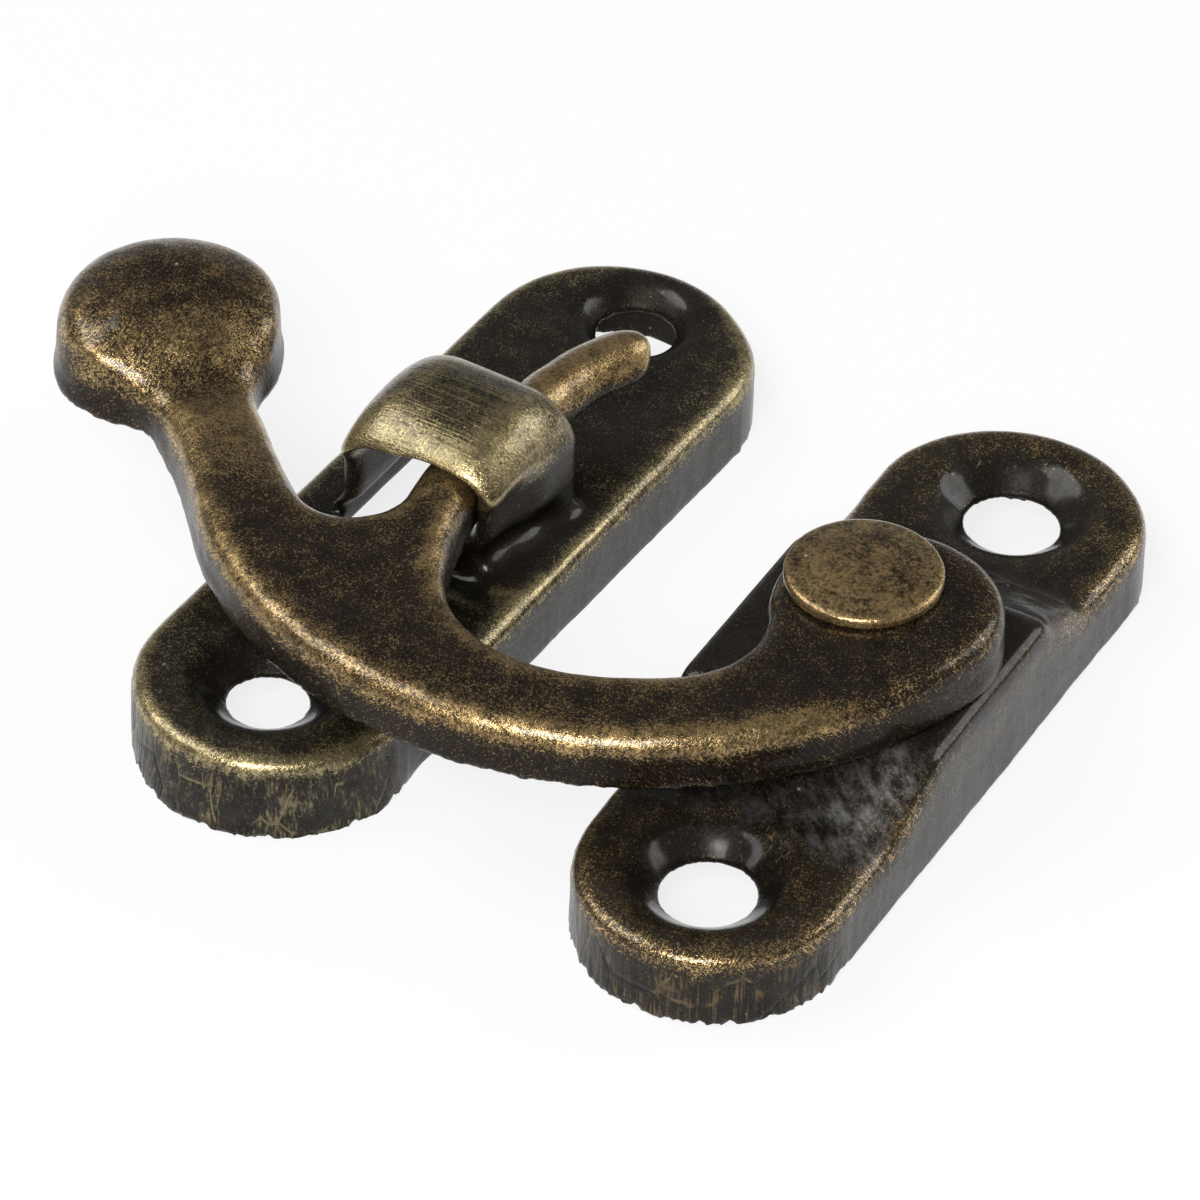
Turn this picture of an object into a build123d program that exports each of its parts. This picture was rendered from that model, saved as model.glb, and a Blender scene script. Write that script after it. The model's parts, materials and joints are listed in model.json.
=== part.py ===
from build123d import *
from math import acos, atan2, cos, degrees, hypot, radians, sin
import os

# Swing-hook box latch in millimetres, closed. +Z leaves the mounting face, +Y runs along the hook plate
# and -X points to the keeper plate. The pieces are drawn round the pivot, and placed at the end so that
# the origin is the middle of the closed latch on its mounting face.

# Tray plates, pressed from sheet with their walls turned down
plate_length = 28.0
plate_width = 8.8
plate_height = 2.6
plate_sheet = 0.6
plate_edge_radius = 0.55

# Screw holes in their pressed dimples. The keeper's back hole lies nearer its end, in a shallower dimple
screw_inset = 4.0
back_screw_inset = 2.85
hook_screw_radius = 1.5
keeper_screw_radius = 1.25
dimple_flare = 1.1
dimple_depth = 0.9
dimple_edge = 0.2
dimple_lip_radius = 1.4
back_dimple_flare = 0.65
back_dimple_depth = 0.6
back_dimple_lip_radius = 0.8

# Raised platform of the hook plate, with a ramp at each end
platform_rise = 1.45
ramp_length = 3.0
ramp_blend_radius = 1.2
dimple_land = 0.8

# Hook arm, pressed from sheet like the plates
arm_sheet = 0.55
arm_height = 2.0
arm_edge_radius = 0.75
eye_radius = 3.6
eye_shift_x = 0.6
eye_shift_y = 0.1
sweep_centre_x = -9.3
sweep_centre_y = 2.5
sweep_width = 3.4
neck_bearing = -135.0
neck_length = 9.83
knob_radius = 3.6
knob_blend_radius = 1.4
knob_rise = 1.1
knob_crest = 0.6
knob_ramp_length = 3.2
knob_ramp_radius = 2.0
finger_radius = 13.75
finger_width = 2.0
finger_tip_angle = 150.0
throat_eye_radius = 3.3
throat_finger_radius = 4.5
shoulder_radius = 1.7

# Keeper plate, which lies a little askew, and the bridge lanced up from its sheet
keeper_gap = 1.25
keeper_y = 0.9
keeper_turn = -3.0
bridge_offset = 0.45
bridge_width = 4.5
bridge_sheet = 0.7
bridge_crown = 0.12
bridge_corner_radius = 1.7
bridge_edge_radius = 0.3
bridge_foot_radius = 0.45
bridge_foot_sink = 0.12

# Pivot rivet
rivet_head_radius = 2.45
rivet_head_shift_x = -0.4
rivet_head_shift_y = 0.45
rivet_rim_height = 0.34
rivet_dome_height = 0.3
rivet_edge_radius = 0.15
rivet_shank_radius = 1.4
rivet_tail_radius = 2.1
rivet_tail_height = 0.7
rivet_tail_bevel = 0.3

# Clearances between the arm and its neighbours
arm_running_gap = 0.05
rivet_running_gap = 0.05
finger_headroom = 0.15
finger_side_play = 2.5

# Levels, from the mounting face up
platform_top = plate_height + platform_rise
arm_bottom = platform_top + arm_running_gap
arm_top = arm_bottom + arm_height
bridge_foot = plate_height - plate_sheet
bridge_flare = plate_height - bridge_foot_sink
tunnel_top = arm_top + finger_headroom
bridge_top = tunnel_top + bridge_sheet
bridge_shoulder = bridge_top - bridge_crown
head_bottom = arm_top + arm_running_gap
head_rim = head_bottom + rivet_rim_height
head_top = head_rim + rivet_dome_height
tail_top = platform_top - plate_sheet
tail_bottom = tail_top - rivet_tail_height

# Places along the plates, and the keeper plate's own planes
screw_y = plate_length / 2 - screw_inset
back_screw_y = plate_length / 2 - back_screw_inset
platform_half = screw_y - hook_screw_radius - dimple_flare - dimple_land - ramp_length
tunnel_half = (finger_width + finger_side_play) / 2
bridge_half = tunnel_half + bridge_sheet
keeper_plane = Plane(
    origin=(-finger_radius - keeper_gap, keeper_y, 0),
    x_dir=(cos(radians(keeper_turn)), sin(radians(keeper_turn)), 0),
    z_dir=(0, 0, 1),
)
bridge_plane = Plane(
    origin=keeper_plane.from_local_coords((bridge_offset, 0, 0)),
    x_dir=keeper_plane.x_dir,
    z_dir=-keeper_plane.y_dir,
)

# The arm's sweep: its outer edge runs smoothly into the eye, and the neck leaves it on a tangent
sweep_outer_radius = hypot(eye_shift_x - sweep_centre_x, eye_shift_y - sweep_centre_y) + eye_radius
sweep_inner_radius = sweep_outer_radius - sweep_width
sweep_radius = sweep_outer_radius - sweep_width / 2
eye_bearing = degrees(atan2(eye_shift_y - sweep_centre_y, eye_shift_x - sweep_centre_x))
arm_reach = 2 * (sweep_outer_radius + neck_length + knob_radius)


def finger_crossing(finger_circle, sweep_circle):
    """Point at the finger's root where a circle round the pivot meets one round the sweep's centre."""
    reach = hypot(sweep_centre_x, sweep_centre_y)
    cosine = (finger_circle**2 + reach**2 - sweep_circle**2) / (2 * finger_circle * reach)
    angle = atan2(sweep_centre_y, sweep_centre_x) + acos(cosine)
    return Vector(finger_circle * cos(angle), finger_circle * sin(angle))


def upper_rim(part, lowest):
    """Edges where the upright walls turn over into the top."""
    walls = part.faces().filter_by(lambda face: abs(face.normal_at().Z) < 0.01)
    return walls.edges().filter_by(lambda edge: edge.bounding_box().min.Z > lowest)


def screw_dimple(hole_y, screw_radius, flare=dimple_flare, depth=dimple_depth, lip_radius=dimple_lip_radius):
    """A dished screw hole, pressed down into the sheet of the tray in hand and thinned to its edge."""
    dish_radius = screw_radius + flare
    floor = plate_height - depth - dimple_edge
    with Locations((0, hole_y, floor)):
        Cone(
            bottom_radius=screw_radius + dimple_edge,
            top_radius=dish_radius + plate_sheet / 2,
            height=plate_height - plate_sheet - floor,
            align=(Align.CENTER, Align.CENTER, Align.MIN),
        )
    with Locations((0, hole_y, plate_height)):
        Cone(
            bottom_radius=screw_radius,
            top_radius=dish_radius,
            height=depth,
            align=(Align.CENTER, Align.CENTER, Align.MAX),
            mode=Mode.SUBTRACT,
        )
        Hole(radius=screw_radius)
    lips = edges().filter_by(GeomType.CIRCLE).filter_by(lambda edge: abs(edge.radius - dish_radius) < 1e-4)
    fillet(lips, radius=lip_radius)


finger_root = finger_crossing(finger_radius, sweep_radius)
finger_root_angle = degrees(atan2(finger_root.Y, finger_root.X)) % 360
throat_corner = finger_crossing(finger_radius - finger_width / 2, sweep_inner_radius)
shoulder_corner = finger_crossing(finger_radius + finger_width / 2, sweep_inner_radius)

# Hook plate: a tray whose middle rises into the platform that the arm turns on, pressed between an
# outer and an inner form one sheet apart
hook_forms = []
for inset in (0, plate_sheet):
    with BuildPart() as form:
        with BuildSketch():
            SlotOverall(plate_length - 2 * inset, plate_width - 2 * inset, rotation=90)
        extrude(amount=platform_top - inset)
        with BuildSketch(Plane.YZ):
            with BuildLine():
                Polyline(
                    (-plate_length, 0),
                    (-plate_length, plate_height - inset),
                    (-platform_half - ramp_length, plate_height - inset),
                    (-platform_half, platform_top - inset),
                    (platform_half, platform_top - inset),
                    (platform_half + ramp_length, plate_height - inset),
                    (plate_length, plate_height - inset),
                    (plate_length, 0),
                    close=True,
                )
            make_face()
            creases = vertices().filter_by(lambda corner: abs(corner.X) < plate_length / 2)
            fillet(creases, radius=ramp_blend_radius)
        extrude(amount=plate_width, both=True, mode=Mode.INTERSECT)
        if not inset:
            fillet(upper_rim(form.part, plate_height / 2), radius=plate_edge_radius)
    hook_forms.append(form.part)

with BuildPart() as hook_plate:
    add(hook_forms[0])
    add(hook_forms[1], mode=Mode.SUBTRACT)
    screw_dimple(-screw_y, hook_screw_radius)
    screw_dimple(screw_y, hook_screw_radius)
    with Locations((0, 0, platform_top)):
        Hole(radius=rivet_shank_radius, depth=2 * plate_sheet)

# Keeper plate: the plain tray, the bridge on it and the tunnel cut through both
with BuildPart(keeper_plane) as keeper_plate:
    with BuildSketch(keeper_plane):
        SlotOverall(plate_length, plate_width, rotation=90)
    extrude(amount=plate_height)
    fillet(upper_rim(keeper_plate.part, plate_height / 2), radius=plate_edge_radius)
    with BuildSketch(keeper_plane):
        SlotOverall(plate_length - 2 * plate_sheet, plate_width - 2 * plate_sheet, rotation=90)
    extrude(amount=plate_height - plate_sheet, mode=Mode.SUBTRACT)
    screw_dimple(-screw_y, keeper_screw_radius)
    screw_dimple(back_screw_y, keeper_screw_radius, back_dimple_flare, back_dimple_depth, back_dimple_lip_radius)
    with BuildSketch(bridge_plane):
        with BuildLine():
            Polyline(
                (bridge_half, bridge_shoulder),
                (bridge_half, bridge_flare),
                (bridge_half + 2 * bridge_foot_radius, bridge_flare),
                (bridge_half + 2 * bridge_foot_radius, bridge_foot),
                (-bridge_half - 2 * bridge_foot_radius, bridge_foot),
                (-bridge_half - 2 * bridge_foot_radius, bridge_flare),
                (-bridge_half, bridge_flare),
                (-bridge_half, bridge_shoulder),
            )
            ThreePointArc((-bridge_half, bridge_shoulder), (0, bridge_top), (bridge_half, bridge_shoulder))
        make_face()
        fillet(vertices().group_by(Axis.Y)[-1], radius=bridge_corner_radius)
        feet = vertices().filter_by(lambda corner: abs(abs(corner.X) - bridge_half) < bridge_foot_radius)
        fillet(feet.group_by(Axis.Y)[0], radius=bridge_foot_radius)
    extrude(amount=bridge_width / 2, both=True)
    with BuildSketch(bridge_plane):
        with BuildLine():
            Polyline(
                (tunnel_half, bridge_shoulder - bridge_sheet),
                (tunnel_half, 0),
                (-tunnel_half, 0),
                (-tunnel_half, bridge_shoulder - bridge_sheet),
            )
            ThreePointArc(
                (-tunnel_half, bridge_shoulder - bridge_sheet),
                (0, tunnel_top),
                (tunnel_half, bridge_shoulder - bridge_sheet),
            )
        make_face()
        fillet(vertices().group_by(Axis.Y)[-1], radius=bridge_corner_radius - bridge_sheet)
    extrude(amount=bridge_width / 2, both=True, mode=Mode.SUBTRACT)
    strap_ends = faces().filter_by(bridge_plane).filter_by(lambda face: face.center().Z > plate_height)
    strap_edges = strap_ends.edges().filter_by(lambda edge: edge.center().Z > plate_height)
    fillet(strap_edges, radius=bridge_edge_radius)

# Hook arm: knob, neck, sweep, finger and eye drawn as one outline
with BuildSketch() as arm_outline:
    with BuildLine():
        sweep = CenterArc(
            (sweep_centre_x, sweep_centre_y), sweep_radius, eye_bearing, neck_bearing - eye_bearing
        )
        neck = Line(sweep @ 1, sweep @ 1 + neck_length * (sweep % 1))
    trace(line_width=sweep_width)
    with BuildLine():
        finger = CenterArc((0, 0), finger_radius, finger_tip_angle, finger_root_angle - finger_tip_angle)
    trace(line_width=finger_width)
    with Locations(finger @ 0):
        Circle(finger_width / 2)
    with Locations((eye_shift_x, eye_shift_y)):
        Circle(eye_radius)
    with Locations(neck @ 1):
        Circle(knob_radius)
    fillet(vertices().sort_by_distance((0, 0))[0], radius=throat_eye_radius)
    fillet(vertices().sort_by_distance(neck @ 1)[:2], radius=knob_blend_radius)
    fillet(vertices().sort_by_distance(throat_corner)[0], radius=throat_finger_radius)

# The arm is pressed between an outer and an inner form one sheet apart, and rises towards the knob
neck_plane = Plane(origin=neck @ 1, x_dir=-(neck % 1), z_dir=Vector(0, 0, 1).cross(neck % 1))
arm_forms = []
for inset in (0, arm_sheet):
    with BuildPart() as form:
        with BuildSketch(Plane.XY.offset(arm_bottom)):
            add(arm_outline.sketch)
            if inset:
                offset(amount=-inset, mode=Mode.REPLACE)
        extrude(amount=arm_height + knob_rise - inset)
        with BuildSketch(neck_plane):
            with BuildLine():
                Polyline(
                    (-arm_reach, 0),
                    (-arm_reach, arm_top + knob_rise - inset),
                    (knob_crest, arm_top + knob_rise - inset),
                    (knob_crest + knob_ramp_length, arm_top - inset),
                    (arm_reach, arm_top - inset),
                    (arm_reach, 0),
                    close=True,
                )
            make_face()
            creases = vertices().filter_by(lambda corner: abs(corner.X) < arm_reach)
            fillet(creases, radius=knob_ramp_radius)
        extrude(amount=arm_reach, both=True, mode=Mode.INTERSECT)
        if not inset:
            shoulder = edges().filter_by(Axis.Z).sort_by_distance(shoulder_corner + (0, 0, arm_bottom))[0]
            fillet(shoulder, radius=shoulder_radius)
            fillet(upper_rim(form.part, arm_bottom), radius=arm_edge_radius)
    arm_forms.append(form.part)

with BuildPart() as hook_arm:
    add(arm_forms[0])
    add(arm_forms[1], mode=Mode.SUBTRACT)
    with Locations((0, 0, arm_top)):
        Hole(radius=rivet_shank_radius + rivet_running_gap)

# Pivot rivet: shank through the platform, a peened tail under it, and a domed head that sits off centre
head_plane = Plane(origin=(rivet_head_shift_x, rivet_head_shift_y, 0), x_dir=(1, 0, 0), z_dir=(0, -1, 0))
with BuildPart() as pivot_rivet:
    with BuildSketch(Plane.XZ):
        with BuildLine():
            Polyline(
                (0, head_rim),
                (0, tail_bottom),
                (rivet_tail_radius, tail_bottom),
                (rivet_tail_radius, tail_top),
                (rivet_shank_radius, tail_top),
                (rivet_shank_radius, head_rim),
                close=True,
            )
        make_face()
        chamfer(vertices().sort_by_distance((rivet_tail_radius, tail_bottom))[0], length=rivet_tail_bevel)
    revolve(axis=Axis.Z)
    with BuildSketch(head_plane):
        with BuildLine():
            Polyline((0, head_top), (0, head_bottom), (rivet_head_radius, head_bottom), (rivet_head_radius, head_rim))
            TangentArc((0, head_top), (rivet_head_radius, head_rim), tangent=(1, 0))
        make_face()
        fillet(vertices().group_by(Axis.X)[-1].sort_by(Axis.Y)[-1], radius=rivet_edge_radius)
    revolve(axis=Axis(head_plane.origin, (0, 0, 1)))

# Placing, so that the closed latch is centred on the origin
latch = {
    "hook_plate": hook_plate.part,
    "keeper_plate": keeper_plate.part,
    "hook_arm": hook_arm.part,
    "pivot_rivet": pivot_rivet.part,
}
middle = Compound(latch.values()).bounding_box().center()
os.makedirs("parts", exist_ok=True)
for name, piece in latch.items():
    placed = piece.moved(Location((-middle.X, -middle.Y, 0)))
    placed.label = name
    export_step(placed, f"parts/{name}.step")
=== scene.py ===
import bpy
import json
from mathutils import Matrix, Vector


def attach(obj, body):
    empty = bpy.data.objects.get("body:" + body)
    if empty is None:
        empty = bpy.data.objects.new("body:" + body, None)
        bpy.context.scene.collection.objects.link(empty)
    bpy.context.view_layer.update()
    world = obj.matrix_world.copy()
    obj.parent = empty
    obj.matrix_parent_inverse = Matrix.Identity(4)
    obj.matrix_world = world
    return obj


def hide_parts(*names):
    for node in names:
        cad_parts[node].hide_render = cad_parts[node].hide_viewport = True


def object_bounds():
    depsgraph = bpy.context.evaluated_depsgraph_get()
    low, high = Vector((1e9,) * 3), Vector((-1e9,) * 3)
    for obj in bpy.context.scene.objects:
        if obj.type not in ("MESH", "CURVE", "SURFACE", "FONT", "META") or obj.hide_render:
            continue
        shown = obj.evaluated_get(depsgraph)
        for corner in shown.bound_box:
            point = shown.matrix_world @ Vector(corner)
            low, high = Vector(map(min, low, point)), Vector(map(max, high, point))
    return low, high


bl_info = {
    "name": "Swing-hook box latch",
    "version": (1, 0, 0),
    "blender": (4, 5, 0),
    "location": "View3D > Sidebar > Latch",
    "description": "Presses, wears and lights an antique-bronze swing-hook box latch",
    "category": "Object",
}

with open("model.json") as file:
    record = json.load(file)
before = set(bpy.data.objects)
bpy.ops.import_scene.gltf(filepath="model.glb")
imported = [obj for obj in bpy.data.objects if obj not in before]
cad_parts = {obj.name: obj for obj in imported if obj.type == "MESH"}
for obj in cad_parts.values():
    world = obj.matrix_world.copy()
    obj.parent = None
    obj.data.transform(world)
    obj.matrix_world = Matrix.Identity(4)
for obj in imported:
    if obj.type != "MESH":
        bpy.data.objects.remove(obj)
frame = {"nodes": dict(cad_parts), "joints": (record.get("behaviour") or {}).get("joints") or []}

import json
from math import cos, radians, sin

import bpy
import numpy as np
from mathutils import Euler, Matrix, Vector

CAD_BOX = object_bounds()
PIVOT = Vector(frame["joints"][0]["pos_m"])
PIVOT.z = 0.0
MM = 0.001

# Places on the latch in plan, in millimetres from the pivot
HOOK_ALONG = np.array((0.0, 1.0))
KEEPER = Vector((-15.0, 0.9))
KEEPER_TURN = radians(-3.0)
KEEPER_ALONG = np.array((-sin(KEEPER_TURN), cos(KEEPER_TURN)))
HALF_STRAIGHT = 9.6
HOLE_REACH = 10.0
BACK_HOLE_REACH = 11.15
BRIDGE_OFFSET = 0.45
BRIDGE_TOP = 7.17
KNOB = Vector((-24.8, 0.9))
TO_NECK = np.array((cos(radians(-45.0)), sin(radians(-45.0))))
FINGER_RADIUS = 13.7
UPRIGHT = (1.0, 1.0, 4.0)
HEAD_SHIFT = (-0.4, 0.45)

# Wear: the mark's name, turns of smoothing, height in millimetres that counts as full, and what handling,
# with the painted highlights passed in as handling, adds
WEAR = (("edge", 8, 0.035, 0.4), ("stand_out", 60, 0.16, 1.0))

# Stage: how far the camera stands right of and above the pivot in the frame, in millimetres, and the lamps as
# name, azimuth and elevation in degrees, width in metres and power in watts
FRAME_SHIFT = (-7.898, 4.436)
FLOOR_GAP = 0.02 * MM
LAMP_DISTANCE = 0.55
LAMPS = (
    ("front softbox", 14.0, 42.0, 0.26, 2.6),
    ("left softbox", -74.0, 52.0, 0.34, 1.3),
    ("right softbox", 140.0, 30.0, 0.30, 0.8),
)


class LatchShape(bpy.types.PropertyGroup):
    """Sizes of the pressed sheet and its wear, in millimetres."""

    grain: bpy.props.FloatProperty(
        name="Mesh grain",
        description="Spacing of the pressed skin's vertices",
        default=0.13,
        min=0.08,
        max=0.4,
    )
    ragged: bpy.props.FloatProperty(
        name="Ragged edge",
        description="How far the torn lower edges rise from the floor",
        default=0.42,
        min=0.0,
    )
    drawn: bpy.props.FloatProperty(
        name="Draw marks",
        description="Depth of the upright marks on the round ends",
        default=0.08,
        min=0.0,
    )
    waviness: bpy.props.FloatProperty(
        name="Waviness",
        description="Unevenness of the pressed faces",
        default=0.07,
        min=0.0,
    )


class LatchFinish(bpy.types.PropertyGroup):
    """Colours of the antiqued finish."""

    patina: bpy.props.FloatVectorProperty(
        name="Plate patina",
        description="Dark finish left on the plates",
        subtype="COLOR",
        default=(0.0190, 0.0157, 0.0118),
    )
    arm_patina: bpy.props.FloatVectorProperty(
        name="Arm patina",
        description="Dark finish left on the arm",
        subtype="COLOR",
        default=(0.0130, 0.0086, 0.0058),
    )
    # Also painted as highlights on the strap's lip and right bend
    brass: bpy.props.FloatVectorProperty(
        name="Keeper brass",
        description="Metal rubbed bare on the keeper plate",
        subtype="COLOR",
        default=(0.50, 0.40, 0.20),
    )
    # Also painted as a highlight on the finger's lit side
    arm_brass: bpy.props.FloatVectorProperty(
        name="Arm brass",
        description="Metal rubbed bare on the arm, the rivet and the hook plate",
        subtype="COLOR",
        default=(0.56, 0.38, 0.165),
    )
    # Colour of lint and scuffs, and of the painted sheen on the hook plate's ramp
    dust_and_sheen: bpy.props.FloatVectorProperty(
        name="Dust",
        description="Lint and scuffs on the metal",
        subtype="COLOR",
        default=(0.34, 0.33, 0.32),
    )


class LatchStage(bpy.types.PropertyGroup):
    """Camera and light."""

    lens: bpy.props.FloatProperty(
        name="Lens", description="Focal length on a 36 mm sensor", default=296.2, unit="CAMERA"
    )
    distance: bpy.props.FloatProperty(
        name="Distance", description="From the pivot's foot to the camera", default=0.300, unit="LENGTH"
    )
    azimuth: bpy.props.FloatProperty(
        name="Azimuth",
        description="Turn of the camera about the upright",
        default=radians(27.564),
        subtype="ANGLE",
    )
    elevation: bpy.props.FloatProperty(
        name="Elevation",
        description="Height of the camera above the floor",
        default=radians(39.776),
        subtype="ANGLE",
    )
    roll: bpy.props.FloatProperty(
        name="Roll", description="Tilt of the frame", default=radians(2.0), subtype="ANGLE"
    )
    level: bpy.props.FloatProperty(
        name="Light level", description="Multiplies every lamp", default=1.0, min=0.0
    )


# Shader maths as Python expressions


class Wire:
    """A shader socket that Python's operators work on."""

    def __init__(self, finish, socket):
        self.finish = finish
        self.socket = socket

    def maths(self, operation, first, second):
        return self.finish.node("ShaderNodeMath", {"operation": operation}, {0: first, 1: second})

    def __add__(self, other):
        return self.maths("ADD", self, other)

    def __radd__(self, other):
        return self.maths("ADD", other, self)

    def __sub__(self, other):
        return self.maths("SUBTRACT", self, other)

    def __rsub__(self, other):
        return self.maths("SUBTRACT", other, self)

    def __mul__(self, other):
        return self.maths("MULTIPLY", self, other)

    def __rmul__(self, other):
        return self.maths("MULTIPLY", other, self)

    def __or__(self, other):
        return self.maths("MAXIMUM", self, other)

    def __and__(self, other):
        return self.maths("MINIMUM", self, other)

    def step(self, low, high):
        """0 below low, 1 above high, smooth between. A low above high turns it round."""
        return self.finish.node(
            "ShaderNodeMapRange",
            {"interpolation_type": "SMOOTHSTEP"},
            {"Value": self, "From Min": low, "From Max": high},
        )


class Finish:
    """One material under construction."""

    def __init__(self, name):
        self.material = bpy.data.materials.new(name)
        self.material.use_nodes = True
        self.tree = self.material.node_tree
        self.shader = self.tree.nodes["Principled BSDF"]
        self.place = self.node(
            "ShaderNodeMapping",
            {},
            {
                "Vector": self.node("ShaderNodeTexCoord", {}, {}, "Object"),
                "Location": tuple(-PIVOT / MM),
                "Scale": (1 / MM, 1 / MM, 1 / MM),
            },
        )

    def node(self, kind, settings, sockets, output=0):
        """Any node: its type, its settings, the values or links of its sockets, and the output wanted."""
        made = self.tree.nodes.new(kind)
        for name, value in settings.items():
            setattr(made, name, value)
        for key, value in sockets.items():
            if isinstance(value, Wire):
                self.tree.links.new(value.socket, made.inputs[key])
            else:
                made.inputs[key].default_value = value
        return Wire(self, made.outputs[output])

    def axis(self, name):
        return self.node("ShaderNodeSeparateXYZ", {}, {0: self.place}, name)

    def stretched(self, scale, turn=(0.0, 0.0, 0.0)):
        """The piece's coordinates in millimetres, turned and then stretched."""
        turned = self.node("ShaderNodeMapping", {}, {"Vector": self.place, "Rotation": turn})
        return self.node("ShaderNodeMapping", {}, {"Vector": turned, "Scale": scale})

    def noise(self, size, detail=2.0, rough=0.5, place=None):
        """Soft noise from 0 to 1 whose patches are about size millimetres across."""
        sockets = {"Vector": place or self.place, "Scale": 1.0 / size, "Detail": detail, "Roughness": rough}
        return self.node("ShaderNodeTexNoise", {}, sockets)

    def cells(self, size):
        """Distance from the nearest of points scattered about size millimetres apart."""
        return self.node("ShaderNodeTexVoronoi", {}, {"Vector": self.place, "Scale": 1.0 / size})

    def attribute(self, name):
        return self.node("ShaderNodeAttribute", {"attribute_name": name}, {}, "Fac")

    def blend(self, factor, first, second):
        """Colour mix. A colour is a tuple of three or a wire."""
        first, second = (tuple(c) + (1.0,) if isinstance(c, tuple) else c for c in (first, second))
        return self.node("ShaderNodeMix", {"data_type": "RGBA"}, {0: factor, 6: first, 7: second}, 2)

    def feed(self, **wires):
        for name, value in wires.items():
            socket = self.shader.inputs[name.replace("_", " ")]
            if isinstance(value, Wire):
                self.tree.links.new(value.socket, socket)
            else:
                socket.default_value = value

    def glow(self, share):
        """White light mixed in by a share, where the surface is seen directly, mirrored or through glass."""
        rays = ("Is Camera Ray", "Is Glossy Ray", "Is Transmission Ray")
        camera, glossy, through = (self.node("ShaderNodeLightPath", {}, {}, ray) for ray in rays)
        light = self.node("ShaderNodeEmission", {}, {"Color": (1.0, 1.0, 1.0, 1.0), "Strength": 1.0})
        plain = Wire(self, self.shader.outputs[0])
        seen = (camera | glossy | through) * share
        mixed = self.node("ShaderNodeMixShader", {}, {0: seen, 1: plain, 2: light})
        self.tree.links.new(mixed.socket, self.tree.nodes["Material Output"].inputs["Surface"])

    def raise_grain(self, height, distance):
        return self.node("ShaderNodeBump", {}, {"Height": height, "Distance": distance, "Strength": 1.0})


def flecks(finish, length, width, turns):
    """Short fine strokes that run every way, 0 to 1."""
    strokes = None
    for turn in turns:
        place = finish.stretched((1 / length, 1 / width, 1 / width), turn)
        layer = finish.noise(1.0, 1.0, 0.5, place)
        strokes = layer if strokes is None else strokes | layer
    return strokes


def antiqued(name, patina, brass, dust_and_sheen, speckle, rub, extra=None):
    """Dark patina over brass under clear lacquer, flecked with bare metal and rubbed bright where the sheet
    stands out, and painted bright where the handled weights mark highlights. The extra function gets the
    finish and its fine noise, and returns more bare metal, more relief and a grey smear, on the hook plate's
    ramp partly a painted sheen."""
    patina, brass, dust_and_sheen = tuple(patina), tuple(brass), tuple(dust_and_sheen)
    finish = Finish(name)
    edge = finish.attribute("edge")
    stand_out = finish.attribute("stand_out")
    mottle = finish.noise(2.6, 3.0, 0.55)
    drift = finish.noise(0.7, 3.0, 0.6)
    fine = finish.noise(0.11, 2.0, 0.6)
    strokes = flecks(finish, 0.5, 0.042, ((0.3, 0.5, 0.4), (1.1, 0.2, 2.0), (2.1, 1.3, 1.0)))

    # The edge and stand_out marks also carry painted highlights on the finger's lit side and the strap's lip
    # and bend
    worn = (stand_out * 0.8 + (drift - 0.5) * 0.9 + (mottle - 0.5) * 0.6).step(-0.4, 0.9)
    grain = (strokes - 0.58) * 1.4 + (fine - 0.5) * 0.7
    rubbed = (edge * rub + grain * 0.9 + (drift - 0.5) * 0.4).step(0.16, 0.95)
    sparse = 0.735 - 0.06 * speckle
    flecked = (strokes + worn * 0.15 + (fine - 0.5) * 0.24).step(sparse, sparse + 0.1)
    bare = rubbed | flecked * (0.3 + 0.7 * worn)
    relief = fine * 0.8 + strokes * 1.2 + drift * 0.6
    smear_and_sheen = 0.0
    if extra:
        more_bare, more_relief, smear_and_sheen = extra(finish, fine)
        bare = bare | more_bare
        relief = relief + more_relief
    hollow = (stand_out * -1.0).step(0.20, 0.9)
    bare = bare * (1.0 - hollow * 0.85)

    dark = finish.blend(mottle.step(0.35, 0.65), patina, tuple(0.5 * c for c in patina))
    dark = finish.blend(worn * 0.3, dark, tuple(0.08 * b + 0.9 * p for b, p in zip(brass, patina)))
    dull, polished = (tuple(share * c for c in brass) for share in (0.55, 1.1))
    bright = finish.blend((fine + drift - 0.5).step(0.25, 0.75), dull, polished)
    lacquer = finish.attribute("lacquer") * (0.75 + 0.25 * finish.noise(0.45, 2.0, 0.6).step(0.38, 0.58))
    lint = finish.cells(1.3).step(0.050, 0.030) * finish.noise(3.5).step(0.46, 0.58)
    # Dust colour over lint, and over the smear, which on the hook plate's ramp is partly a painted sheen
    colour = finish.blend(lint * 0.8 + smear_and_sheen & 1.0, finish.blend(bare, dark, bright), dust_and_sheen)
    finish.feed(
        Base_Color=colour,
        Metallic=(0.4 + bare * 0.55) * (1.0 - lint),
        Roughness=0.29 + (drift - 0.5) * 0.16 + (fine - 0.5) * 0.12 - bare * 0.04 + lint * 0.4,
        Normal=finish.raise_grain(relief + lint * 1.5, 0.014 * MM),
        Coat_Weight=lacquer * (1.0 - lint) * 0.6,
        Coat_Roughness=0.13,
        Specular_IOR_Level=0.1,
    )
    return finish.material


def brushed_bridge(finish, fine):
    """Fine lines rubbed along the bridge's strap."""
    turned = (0.0, 0.0, -KEEPER_TURN)
    lines = finish.noise(1.0, 2.0, 0.6, finish.stretched((0.2, 15.0, 15.0), turned))
    strap = finish.axis("Z").step(4.2, 6.4)
    bare = (lines * 1.8 + finish.attribute("edge") * 0.8).step(0.98, 1.5) * strap * 0.75
    return bare, lines * strap * 1.5, 0.0


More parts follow.
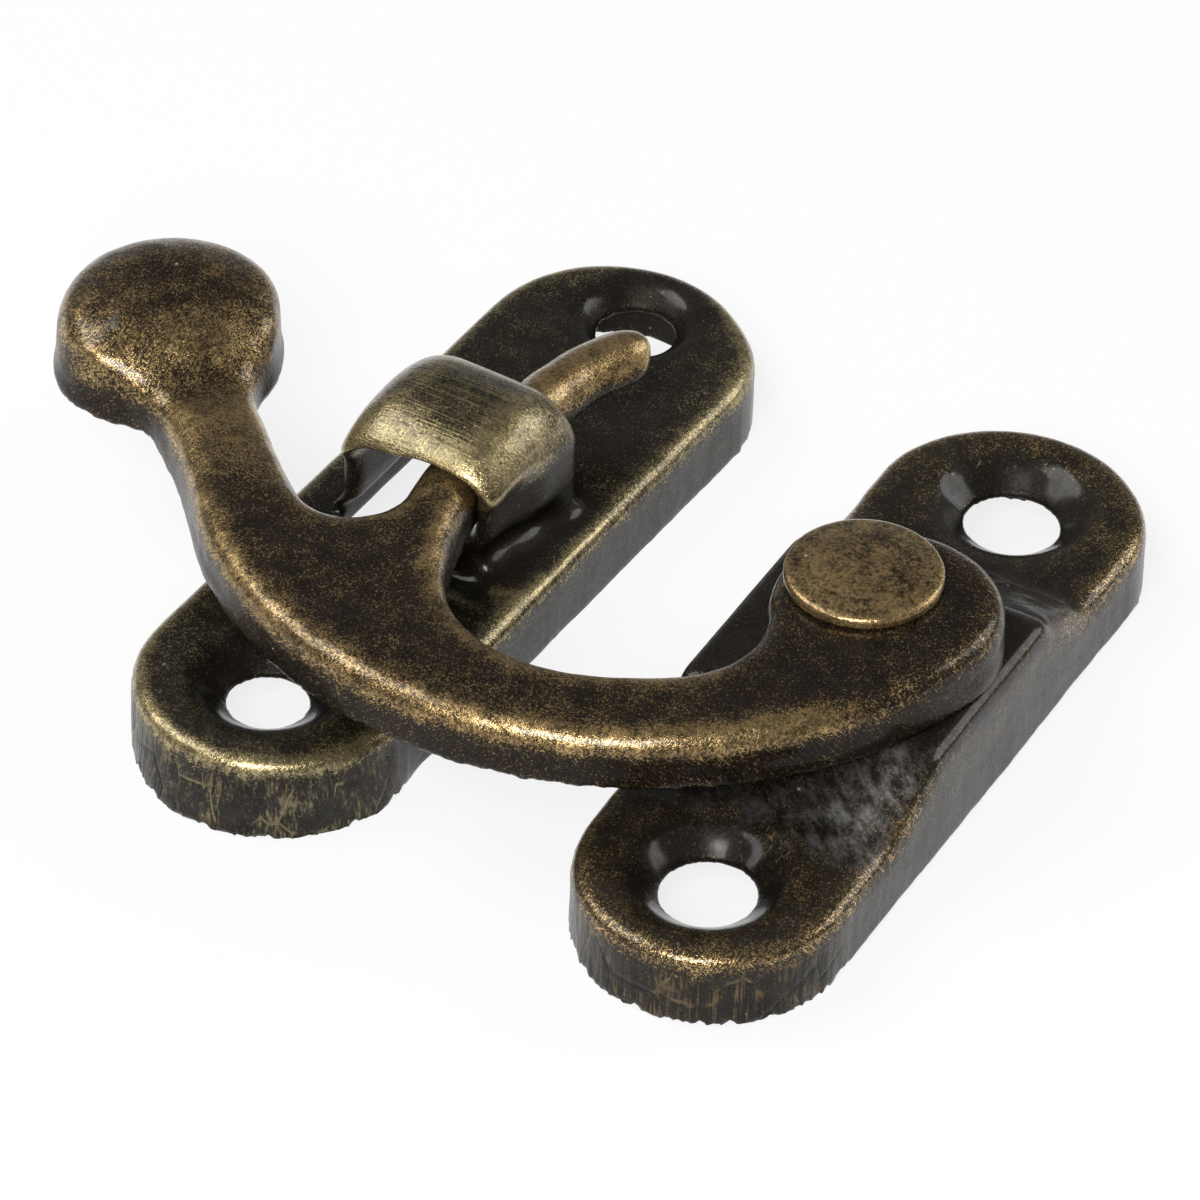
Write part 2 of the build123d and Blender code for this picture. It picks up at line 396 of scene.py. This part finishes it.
def drawn_walls(finish, fine):
    """Upright scratches and thin cracks where the walls were drawn down."""
    wall = finish.axis("Z").step(2.2, 1.7) * finish.axis("Y").step(-8.5, -11.0)
    scratches = finish.noise(1.0, 2.0, 0.6, finish.stretched((12.0, 12.0, 0.45)))
    patches = finish.noise(0.8, 2.0, 0.5)
    cell = finish.stretched((0.9, 0.9, 0.5), (0.3, 0.2, 0.0))
    gap = finish.node("ShaderNodeTexVoronoi", {"feature": "DISTANCE_TO_EDGE"}, {"Vector": cell, "Scale": 1.0})
    scored = (scratches + (patches - 0.5) * 0.8 + (fine - 0.5) * 0.2).step(0.52, 0.80) * 0.4
    cracked = (gap + (fine - 0.5) * 0.03).step(0.035, 0.008) * patches.step(0.44, 0.58) * 0.45
    return (scored | cracked) * wall, (scratches - gap.step(0.07, 0.0) * 1.5) * wall * 1.6, 0.0


def keeper_marks(finish, fine):
    """A brushed bridge on drawn walls."""
    bridge, wall = brushed_bridge(finish, fine), drawn_walls(finish, fine)
    return bridge[0] | wall[0], bridge[1] + wall[1], 0.0


def hook_marks(finish, fine):
    """Drawn walls, and a ramp under the arm smeared grey: scuffs, partly a painted sheen that grows towards
    its right edge.
    """
    bare, relief, _ = drawn_walls(finish, fine)
    x, y, z = finish.axis("X"), finish.axis("Y"), finish.axis("Z")
    ramp_face = y.step(-8.4, -6.8) * y.step(-2.5, -4.5)
    ramp_face = ramp_face * x.step(-4.2, -2.8) * x.step(4.4, 3.7) * z.step(2.2, 2.5)
    brushed = finish.noise(1.0, 3.0, 0.7, finish.stretched((1.2, 2.6, 2.6), (0.0, 0.0, 0.7)))
    # Grey on the ramp: scuffs, and partly a painted sheen, stronger towards the right edge
    scuffs_and_sheen = (brushed + (fine - 0.5) * 0.2).step(0.34, 0.86) * ramp_face
    return bare * 0.6, relief, scuffs_and_sheen * (0.25 + 0.4 * x.step(1.2, 3.4))


def peened_head(finish, fine):
    """Faint rings left by the setting tool, off centre with the head."""
    offset = finish.node(
        "ShaderNodeMapping",
        {},
        {
            "Vector": finish.place,
            "Location": (-HEAD_SHIFT[0], -HEAD_SHIFT[1], 0.0),
            "Scale": (1.0, 1.0, 0.0),
        },
    )
    radius = finish.node("ShaderNodeVectorMath", {"operation": "LENGTH"}, {0: offset}, "Value")
    ring = finish.node("ShaderNodeMath", {"operation": "SINE"}, {0: radius * 17.0 + fine * 2.5}) * 0.5 + 0.5
    head = finish.axis("Z").step(6.3, 6.5)
    patch = finish.noise(1.1, 3.0, 0.6)
    return (patch + (fine - 0.5) * 0.9 + ring * 0.1).step(0.26, 0.84) * head * 0.7, ring * head * 0.3, 0.0


# Pressing a skin from a solid: millimetres round the pivot until it is done


def choose(piece):
    """Object mode, with this piece alone selected and active."""
    if bpy.context.object and bpy.context.object.mode != "OBJECT":
        bpy.ops.object.mode_set(mode="OBJECT")
    bpy.ops.object.select_all(action="DESELECT")
    piece.select_set(True)
    bpy.context.view_layer.objects.active = piece


def modify(piece, kind, **settings):
    choose(piece)
    modifier = piece.modifiers.new(kind.title(), kind)
    for name, value in settings.items():
        setattr(modifier, name, value)
    bpy.ops.object.modifier_apply(modifier=modifier.name)


def settle(piece, place, size, turn=0.0):
    choose(piece)
    piece.matrix_world = Matrix.LocRotScale(place, Euler((0.0, 0.0, turn)), (size, size, size))
    bpy.ops.object.transform_apply(location=True, rotation=True, scale=True)


def start_skin(node, name, grain, turn=0.0):
    """A copy of a solid, merged and remade as an even skin on a grid that is turned with the piece."""
    piece = bpy.data.objects.new(name, frame["nodes"][node].data.copy())
    bpy.context.scene.collection.objects.link(piece)
    piece.data.materials.clear()
    settle(piece, -PIVOT / MM, 1 / MM)
    bpy.ops.object.mode_set(mode="EDIT")
    bpy.ops.mesh.select_all(action="SELECT")
    bpy.ops.mesh.remove_doubles(threshold=0.001)
    bpy.ops.mesh.delete_loose()
    bpy.ops.object.mode_set(mode="OBJECT")
    settle(piece, Vector(), 1.0, -turn)
    modify(piece, "REMESH", mode="VOXEL", voxel_size=grain, adaptivity=0.0, use_smooth_shade=True)
    settle(piece, Vector(), 1.0, turn)
    return piece


def places(piece, field="co"):
    found = np.empty(len(piece.data.vertices) * 3)
    piece.data.vertices.foreach_get(field, found)
    return found.reshape(-1, 3)


def ramp(values, low, high):
    t = np.clip((values - low) / (high - low), 0.0, 1.0)
    return t * t * (3.0 - 2.0 * t)


def weigh(piece, name, weights):
    """A vertex group from one weight a vertex."""
    group = piece.vertex_groups.new(name=name)
    for index in np.nonzero(weights > 0.001)[0]:
        group.add([int(index)], float(weights[index]), "REPLACE")
    return name


def soften(piece, weights, turns):
    group = weigh(piece, "soften", weights)
    modify(piece, "SMOOTH", factor=0.5, iterations=turns, vertex_group=group)
    piece.vertex_groups.remove(piece.vertex_groups[group])


def roughen(piece, weights, size, strength, direction="NORMAL", stretch=(1.0, 1.0, 1.0), middle=0.5, depth=2):
    """Displace by cloud noise, stretched along the axes."""
    group = weigh(piece, "roughen", weights)
    noise = bpy.data.textures.new("press noise", "CLOUDS")
    noise.noise_scale = size
    noise.noise_depth = depth
    holder = bpy.data.objects.new("press noise place", None)
    holder.scale = stretch
    bpy.context.scene.collection.objects.link(holder)
    bpy.context.view_layer.update()
    modify(
        piece,
        "DISPLACE",
        texture=noise,
        texture_coords="OBJECT",
        texture_coords_object=holder,
        strength=strength,
        mid_level=middle,
        direction=direction,
        vertex_group=group,
    )
    bpy.data.objects.remove(holder)
    bpy.data.textures.remove(noise)
    piece.vertex_groups.remove(piece.vertex_groups[group])


def shift(piece, moves):
    """Move every vertex by its own amount."""
    piece.data.vertices.foreach_set("co", (places(piece) + moves).ravel())
    piece.data.update()


def lift(piece, heights):
    shift(piece, np.outer(heights, (0.0, 0.0, 1.0)))


def push(piece, point, move, reach):
    """Push the skin at a point, its neighbourhood following less and less."""
    weight = ramp(np.linalg.norm(places(piece) - np.array(point), axis=1), reach, 0.0)
    shift(piece, np.outer(weight, move))


def smoothed(points, edges, turns):
    """Points drawn towards the mean of their neighbours, over and over."""
    first, second = np.concatenate((edges, edges[:, ::-1])).T
    count = np.maximum(np.bincount(first, minlength=len(points)), 1)
    for _ in range(turns):
        mean = np.stack([np.bincount(first, points[second, k], len(points)) for k in range(3)], axis=1)
        points = 0.4 * points + 0.6 * mean / count[:, None]
    return points


def mark_wear(piece, reached, handled_and_highlit=0.0, unlacquered=0.0):
    """Keep on each vertex how far it stands out of, or lies below, the faces round it, close by and further
    off. What hands don't reach stays dark, and what they hold goes bright, as do the painted highlights
    passed in with the handled weights."""
    edges = np.empty(len(piece.data.edges) * 2, dtype=np.int64)
    piece.data.edges.foreach_get("vertices", edges)
    points, normals = places(piece), places(piece, "normal")
    marks = {"lacquer": np.ones(len(points)) - unlacquered}
    for name, turns, full, held in WEAR:
        calm = smoothed(points, edges.reshape(-1, 2), turns)
        proud = np.clip(((points - calm) * normals).sum(axis=1) / full, -1.0, 1.0)
        marks[name] = np.where(proud > 0.0, proud * reached, proud) - 0.35 * (1.0 - reached) + held * handled_and_highlit
    for name, values in marks.items():
        mark = piece.data.attributes.new(name, "FLOAT", "POINT")
        mark.data.foreach_set("value", values.astype(np.float32))


def round_plate(points, along, centre):
    """For points in plan on a round-ended plate: the distance from its middle line, the way out from that
    line, and the places across and along the plate."""
    square = np.array((along[1], -along[0]))
    flat = points[:, :2] - np.array(centre)
    run = np.clip(flat @ along, -HALF_STRAIGHT, HALF_STRAIGHT)
    out = flat - run[:, None] * along
    reach = np.linalg.norm(out, axis=1)
    return reach, out / np.maximum(reach, 1e-6)[:, None], flat @ square, flat @ along


def press_tray(piece, shape, along, centre, flare):
    """What pressing leaves on both trays: uneven faces, drawn walls, and torn lower edges at the front."""
    points = places(piece)
    reach, out, _, length = round_plate(points, along, centre)
    wall = ramp(reach, 3.3, 3.7) * ramp(points[:, 2], 2.5, 2.0)
    front = ramp(length, -8.0, -10.5)
    spread = flare * front * wall * ramp(points[:, 2], 1.9, 0.0) * ramp(out[:, 0], -0.9, 0.1)
    shift(piece, np.column_stack((out * spread[:, None], np.zeros(len(points)))))
    roughen(piece, ramp(points[:, 2], 3.95, 3.6), 2.8, shape.waviness, middle=0.8)
    drawn = wall * (0.15 + 0.85 * front)
    roughen(piece, drawn, 0.24, shape.drawn, stretch=(1.0, 1.0, 9.0), middle=0.9, depth=1)
    rim = wall * ramp(points[:, 2], 1.0, 0.05)
    roughen(piece, rim * (0.06 + 0.94 * front), 0.28, shape.ragged, "Z", UPRIGHT, 0.55, 1)
    roughen(piece, rim * (0.2 + 0.8 * front), 0.8, 1.3 * shape.ragged, "Z", UPRIGHT, 0.52, 1)
    lift(piece, np.maximum(-places(piece)[:, 2], 0.0))


def clear_of(points, holes, near, far):
    """0 at the screw holes, 1 away from them."""
    clear = np.ones(len(points))
    for x, y in holes:
        clear = clear * ramp(np.hypot(points[:, 0] - x, points[:, 1] - y), near, far)
    return clear


def tray_wear(piece, along, centre, holes):
    """Where hands reach a tray, which is not the walls and not the dimples, and where it has no lacquer."""
    points = places(piece)
    reached = ramp(points[:, 2], 1.2, 2.3) * clear_of(points, holes, 1.9, 2.8)
    upright = ramp(places(piece, "normal")[:, 2], 0.3, 0.1)
    bare = upright * (0.55 + 0.45 * ramp(round_plate(points, along, centre)[0], 4.2, 4.05))
    return reached, np.maximum(bare, 1.0 - clear_of(points, holes, 1.5, 1.75))


def finish_skin(piece, node, body, material):
    settle(piece, PIVOT, MM)
    choose(piece)
    bpy.ops.object.shade_smooth()
    piece.data.materials.clear()
    piece.data.materials.append(material)
    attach(piece, body)
    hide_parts(node)


class LATCH_OT_hook_plate(bpy.types.Operator):
    """Press the hook plate's tray and platform"""

    bl_idname = "latch.hook_plate"
    bl_label = "Hook plate"

    def execute(self, context):
        shape, colours = context.scene.latch_shape, context.scene.latch_finish
        piece = start_skin("hook_plate", "pressed_hook_plate", shape.grain)
        holes = (0.0, -HOLE_REACH), (0.0, HOLE_REACH)
        points = places(piece)
        soften(piece, ramp(points[:, 2], 1.6, 2.1) * (0.15 + 0.85 * clear_of(points, holes, 1.7, 2.2)), 6)
        soften(piece, self.on_ramps(points) * ramp(points[:, 2], 1.7, 2.2), 40)
        askew = 0.18 * ramp(points[:, 1], -5.0, -11.0) * ramp(points[:, 0], 4.4, -4.4)
        short = -0.22 * ramp(points[:, 1], 8.5, 13.5)
        shift(piece, np.column_stack((askew, short, np.zeros(len(points)))))
        press_tray(piece, shape, HOOK_ALONG, (0.0, 0.0), 0.0)
        points = places(piece)
        ramps = self.on_ramps(points) * ramp(points[:, 2], 2.3, 2.7)
        roughen(piece, ramps * ramp(np.abs(points[:, 0]), 3.9, 3.2), 0.9, 0.06)
        reached, unlacquered = tray_wear(piece, HOOK_ALONG, (0.0, 0.0), holes)
        mark_wear(piece, reached * ramp(places(piece)[:, 2], 4.6, 2.4), 0.0, unlacquered)
        brown = antiqued(
            "antiqued hook plate",
            colours.patina,
            colours.arm_brass,
            colours.dust_and_sheen,
            speckle=0.5,
            rub=0.3,
            extra=hook_marks,
        )
        finish_skin(piece, "hook_plate", "base", brown)
        return {"FINISHED"}

    def on_ramps(self, points):
        """1 on the two ramps up to the platform, 0 off them."""
        length = np.abs(points[:, 1])
        return ramp(length, 8.4, 7.6) * ramp(length, 3.6, 4.4)


class LATCH_OT_keeper_plate(bpy.types.Operator):
    """Press the keeper plate's tray and its lanced bridge"""

    bl_idname = "latch.keeper_plate"
    bl_label = "Keeper plate"

    def execute(self, context):
        shape, colours = context.scene.latch_shape, context.scene.latch_finish
        piece = start_skin("keeper_plate", "pressed_keeper_plate", shape.grain, KEEPER_TURN)
        along = KEEPER_ALONG
        holes = (KEEPER + Vector(along) * BACK_HOLE_REACH, KEEPER - Vector(along) * HOLE_REACH)
        points = places(piece)
        sheet = ramp(points[:, 2], 1.6, 2.1) * ramp(points[:, 2], 3.2, 2.8)
        soften(piece, sheet * (0.15 + 0.85 * clear_of(points, holes, 1.45, 1.9)), 6)
        self.dome_bridge(piece)
        press_tray(piece, shape, along, KEEPER, 0.35)
        points = places(piece)
        aside, across = round_plate(points, along, KEEPER)[2:]
        legs = ramp(points[:, 2], 2.75, 3.2) * ramp(points[:, 2], 6.2, 4.2)
        strap = ramp(points[:, 2], 4.2, 6.2)
        # Bare metal on the strap's front lip and right bend: rubbed wear, partly a painted highlight where
        # the lamps catch them
        lip_wear_and_highlight = 0.8 * strap * ramp(across, -1.0, -2.3)
        bend_wear_and_highlight = 1.0 * strap * ramp(aside - BRIDGE_OFFSET, 0.7, 1.9) * ramp(across, 1.6, -0.4)
        reached, unlacquered = tray_wear(piece, along, KEEPER, holes)
        under = ramp(np.abs(across), 3.0, 2.5) * ramp(np.abs(aside - BRIDGE_OFFSET), 3.2, 2.8)
        under = under * ramp(points[:, 2], 5.4, 5.0) * ramp(places(piece, "normal")[:, 2], 0.6, 0.3)
        unlacquered = np.maximum(np.maximum(unlacquered * ramp(points[:, 2], 2.7, 2.5), 0.8 * legs), under)
        mark_wear(piece, reached * (1.0 - 0.9 * np.maximum(legs, under)), np.maximum(lip_wear_and_highlight, bend_wear_and_highlight), unlacquered)
        golden = antiqued(
            "antiqued keeper plate",
            colours.patina,
            colours.brass,
            colours.dust_and_sheen,
            speckle=0.7,
            rub=0.85,
            extra=keeper_marks,
        )
        finish_skin(piece, "keeper_plate", "base", golden)
        return {"FINISHED"}

    def dome_bridge(self, piece):
        """Swell the strap like a cushion, roll its edges down and spread its feet as they were lanced."""
        points, upward = places(piece), places(piece, "normal")[:, 2] > 0.0
        aside, across = round_plate(points, KEEPER_ALONG, KEEPER)[2:]
        aside = aside - BRIDGE_OFFSET
        height = points[:, 2]
        strap = ramp(height, 4.6, 6.2)
        swell = 0.28 - np.where(upward, 0.60, 0.26) * (np.abs(across) / 2.25) ** 2.2
        droop = 0.25 * ramp(aside, 0.2, -1.0) * ramp(across, -1.0, -2.3)
        forward = -0.45 * ramp(across, 0.0, -2.2) * strap
        left_foot = -0.55 * ramp(aside, -1.2, -1.9) * ramp(aside, -3.2, -2.6) * ramp(height, 3.4, 2.9)
        right_foot = -1.3 * ramp(aside, 0.8, 2.0) * ramp(aside, 3.6, 2.3) * ramp(height, 3.9, 2.7)
        right_foot = right_foot * ramp(across, 1.6, 0.2) * ramp(across, -3.4, -2.2)
        right_leg = -0.45 * ramp(aside, 1.0, 1.7) * ramp(height, 2.7, 3.2)
        right_leg = right_leg * ramp(height, 5.9, 5.0) * ramp(across, 0.5, -1.5)
        right_wall = 0.26 * ramp(aside, 1.8, 4.0) * ramp(height, 3.0, 2.8) * ramp(across, -9.0, -5.0)
        sideways = left_foot * (np.abs(across) < 2.9) + right_leg + right_foot + right_wall
        hollow = -0.5 * ramp(across, -3.7, -2.4) * ramp(across, -0.4, -1.5)
        hollow = hollow * ramp(aside, 0.4, 1.2) * ramp(aside, 3.2, 2.5)
        hollow = hollow * ramp(height, 1.7, 2.0) * ramp(height, 3.4, 2.8)
        square = np.array((KEEPER_ALONG[1], -KEEPER_ALONG[0]))
        plan = np.outer(forward, KEEPER_ALONG) + np.outer(sideways, square)
        shift(piece, np.column_stack((plan, (swell - droop) * strap + hollow)))
        foot = ramp(np.hypot(aside - 1.6, across + 1.2), 2.6, 1.6) * ramp(places(piece)[:, 2], 1.9, 2.2)
        soften(piece, np.maximum(ramp(places(piece)[:, 2], 2.6, 4.0), foot) * (np.abs(across) < 3.8), 22)
        height = places(piece)[:, 2]
        lift(piece, (BRIDGE_TOP - height.max()) * ramp(height, 4.6, 6.8))
        corner = ramp(np.abs(places(piece)[:, 2] - 5.6), 1.6, 0.8)
        corner = corner * ramp(np.hypot(aside - 1.7, across + 2.2), 1.8, 0.9)
        soften(piece, corner, 30)


class LATCH_OT_hook_arm(bpy.types.Operator):
    """Press the hook arm with its puffed knob"""

    bl_idname = "latch.hook_arm"
    bl_label = "Hook arm"

    def execute(self, context):
        shape, colours = context.scene.latch_shape, context.scene.latch_finish
        piece = start_skin("hook_arm", "pressed_hook_arm", shape.grain)
        self.thin_finger(piece)
        self.puff_knob(piece)
        points = places(piece)
        upper = ramp(points[:, 2], 4.5, 5.0)
        neck = ramp(np.hypot(points[:, 0] + 21.4, points[:, 1] + 1.6), 5.2, 3.0)
        soften(piece, upper, 16)
        soften(piece, upper * neck, 130)
        roughen(piece, upper, 3.2, 1.6 * shape.waviness, middle=0.7)
        roughen(piece, upper, 0.8, 0.4 * shape.waviness, middle=0.7)
        points = places(piece)
        away_from_eye = ramp(np.hypot(points[:, 0], points[:, 1]), 5.0, 7.0)
        lower_edge = away_from_eye * ramp(points[:, 2], 4.7, 4.2)
        roughen(piece, lower_edge, 0.5, 0.5 * shape.ragged, "Z", UPRIGHT, 0.1, 1)
        points = places(piece)
        held = 0.6 * ramp(np.hypot(points[:, 0] + 21.8, points[:, 1] + 2.4), 5.0, 1.6)
        # Bare brass on the finger's inner side, facing the key lamp: handling wear, partly a painted
        # highlight
        lit_inner_side = ramp(np.hypot(points[:, 0], points[:, 1]), 14.4, 13.0)
        finger = 0.9 * lit_inner_side * ramp(points[:, 1], 1.0, 5.0) * ramp(points[:, 0], -8.0, -10.0)
        reached = 0.15 + 0.85 * ramp(points[:, 2], 4.8, 5.6)
        reached = reached * (0.5 + 0.5 * clear_of(points, ((0.0, 0.0),), 4.6, 6.0))
        upright = 0.65 * ramp(places(piece, "normal")[:, 2], 0.5, 0.2)
        mark_wear(piece, reached, (held + finger) * reached, upright)
        red_brown = antiqued(
            "antiqued hook arm",
            colours.arm_patina,
            colours.arm_brass,
            colours.dust_and_sheen,
            speckle=1.1,
            rub=0.95,
        )
        finish_skin(piece, "hook_arm", "arm", red_brown)
        return {"FINISHED"}

    def puff_knob(self, piece):
        """Let the neck climb to the knob in one slope, and round the knob over like a cushion."""
        points, upward = places(piece), places(piece, "normal")[:, 2] > 0.0
        spoke = points[:, :2] - np.array(KNOB)
        down_neck, aside = spoke @ TO_NECK, spoke @ TO_NECK[::-1]
        climbed = np.clip(points[:, 2] - np.where(upward, 6.1, 5.55), 0.0, 1.1)
        slope = np.maximum(1.0 * ramp(down_neck, 7.4, 0.6) - climbed, 0.0) * ramp(down_neck, 0.6, 1.6)
        slope = slope * ramp(points[:, 2], 5.0, 5.4) * ramp(np.abs(aside), 3.4, 1.4)
        lift(piece, slope)
        points = places(piece)
        reach = np.hypot(points[:, 0] - KNOB.x, points[:, 1] - KNOB.y)
        soften(piece, ramp(reach, 7.5, 5.0) * ramp(points[:, 2], 4.4, 5.4), 60)
        points = places(piece)
        reach = np.hypot(points[:, 0] - KNOB.x, points[:, 1] - KNOB.y)
        lift(piece, -0.40 * ramp(points[:, 2], 5.2, 6.4) * ramp(reach, 1.4, 3.6) * ramp(reach, 4.6, 3.7))
        push(piece, (-21.4, 2.2, 5.5), (-0.22, -0.10, 0.0), 2.8)
        push(piece, (-22.1, -4.9, 5.0), (0.20, 0.20, 0.0), 4.5)
        push(piece, (-27.0, -1.6, 4.4), (0.0, -0.30, 0.0), 3.0)

    def thin_finger(self, piece):
        """Shallow the finger's walls towards its tip, and let the tip run a little wide of the arc."""
        points = places(piece)
        bearing = np.degrees(np.arctan2(points[:, 1], points[:, 0])) % 360.0
        reach = np.hypot(points[:, 0], points[:, 1])
        finger = ramp(bearing, 196.0, 172.0) * ramp(reach, 11.5, 12.2) * ramp(reach, 16.0, 15.2)
        wide = 0.55 * ramp(bearing, 172.0, 152.0) * finger
        plan = points[:, :2] / np.maximum(reach, 1e-6)[:, None] * wide[:, None]
        rounded = -0.55 * np.minimum(np.abs(reach - FINGER_RADIUS) / 1.2, 1.0) ** 2
        shift(piece, np.column_stack((plan, finger * (0.42 * (6.1 - points[:, 2]) + rounded))))
        soften(piece, ramp(bearing, 190.0, 176.0) * ramp(reach, 11.5, 12.2), 20)
        soften(piece, ramp(bearing, 164.0, 154.0) * ramp(reach, 11.5, 12.2), 40)


class LATCH_OT_pivot_rivet(bpy.types.Operator):
    """Set the pivot rivet's domed head"""

    bl_idname = "latch.pivot_rivet"
    bl_label = "Pivot rivet"

    def execute(self, context):
        shape, colours = context.scene.latch_shape, context.scene.latch_finish
        piece = start_skin("pivot_rivet", "domed_pivot_rivet", 0.6 * shape.grain)
        soften(piece, ramp(places(piece)[:, 2], 6.2, 6.4), 3)
        mark_wear(piece, 1.0)
        speckled = antiqued(
            "antiqued rivet",
            colours.arm_patina,
            colours.arm_brass,
            colours.dust_and_sheen,
            speckle=1.6,
            rub=1.0,
            extra=peened_head,
        )
        finish_skin(piece, "pivot_rivet", "base", speckled)
        return {"FINISHED"}


class LATCH_OT_stage(bpy.types.Operator):
    """Set out the floor, the lamps and the camera"""

    bl_idname = "latch.stage"
    bl_label = "Stage"

    def execute(self, context):
        stage = context.scene.latch_stage
        self.lay_floor()
        self.hang_lamps(stage)
        self.place_camera(context, stage)
        context.scene.view_settings.view_transform = "Standard"
        return {"FINISHED"}

    def lay_floor(self):
        bpy.ops.object.select_all(action="DESELECT")
        bpy.ops.mesh.primitive_plane_add(size=3.0, location=(0.0, 0.0, CAD_BOX[0].z - FLOOR_GAP))
        floor = bpy.context.object
        floor.name = "floor"
        finish = Finish("white floor")
        finish.feed(Base_Color=(0.9, 0.9, 0.9, 1.0), Roughness=0.9)
        finish.glow(0.82)
        floor.data.materials.append(finish.material)

    def hang_lamps(self, stage):
        world = bpy.data.worlds.new("studio")
        bpy.context.scene.world = world
        world.use_nodes = True
        sky = world.node_tree.nodes["Background"].inputs
        sky["Color"].default_value = (0.95, 0.97, 1.0, 1.0)
        sky["Strength"].default_value = 0.15
        for name, azimuth, elevation, size, power in LAMPS:
            lamp = bpy.data.lights.new(name, "AREA")
            lamp.size = size
            lamp.energy = power * stage.level
            holder = bpy.data.objects.new(name, lamp)
            bpy.context.scene.collection.objects.link(holder)
            out = away(radians(azimuth), radians(elevation))
            holder.location = out * LAMP_DISTANCE
            holder.rotation_euler = out.to_track_quat("Z", "Y").to_euler()

    def place_camera(self, context, stage):
        back = away(stage.azimuth, stage.elevation)
        level = Vector((cos(stage.azimuth), sin(stage.azimuth), 0.0))
        upright = back.cross(level)
        right = cos(stage.roll) * level + sin(stage.roll) * upright
        up = cos(stage.roll) * upright - sin(stage.roll) * level
        lens = bpy.data.cameras.new("photo camera")
        lens.sensor_fit = "HORIZONTAL"
        lens.sensor_width = 36.0
        lens.lens = stage.lens
        lens.clip_start = 0.01
        lens.clip_end = 10.0
        camera = bpy.data.objects.new("photo camera", lens)
        context.scene.collection.objects.link(camera)
        spot = PIVOT + back * stage.distance + right * FRAME_SHIFT[0] * MM + up * FRAME_SHIFT[1] * MM
        camera.matrix_world = Matrix.Translation(spot) @ Matrix((right, up, back)).transposed().to_4x4()
        context.scene.camera = camera


def away(azimuth, elevation):
    """Direction from the object, the azimuth counted from the front towards the right."""
    return Vector((sin(azimuth) * cos(elevation), -cos(azimuth) * cos(elevation), sin(elevation)))


class LATCH_PT_panel(bpy.types.Panel):
    """Lists the latch's pieces and the stage"""

    bl_idname = "LATCH_PT_panel"
    bl_label = "Swing-hook latch"
    bl_space_type = "VIEW_3D"
    bl_region_type = "UI"
    bl_category = "Latch"

    def draw(self, context):
        scene = context.scene
        for group in (scene.latch_shape, scene.latch_finish, scene.latch_stage):
            for name in group.bl_rna.properties.keys():
                if name not in ("rna_type", "name"):
                    self.layout.prop(group, name)
        for step in STEPS:
            self.layout.operator(step.bl_idname)


GROUPS = {"latch_shape": LatchShape, "latch_finish": LatchFinish, "latch_stage": LatchStage}
STEPS = (LATCH_OT_hook_plate, LATCH_OT_keeper_plate, LATCH_OT_hook_arm, LATCH_OT_pivot_rivet, LATCH_OT_stage)
CLASSES = tuple(GROUPS.values()) + STEPS + (LATCH_PT_panel,)


def register():
    for made in CLASSES:
        bpy.utils.register_class(made)
    for name, group in GROUPS.items():
        setattr(bpy.types.Scene, name, bpy.props.PointerProperty(type=group))


def unregister():
    for name in GROUPS:
        delattr(bpy.types.Scene, name)
    for made in reversed(CLASSES):
        bpy.utils.unregister_class(made)


def main():
    register()
    bpy.ops.latch.hook_plate()
    bpy.ops.latch.keeper_plate()
    bpy.ops.latch.hook_arm()
    bpy.ops.latch.pivot_rivet()
    bpy.ops.latch.stage()


if __name__ == "__main__":
    main()
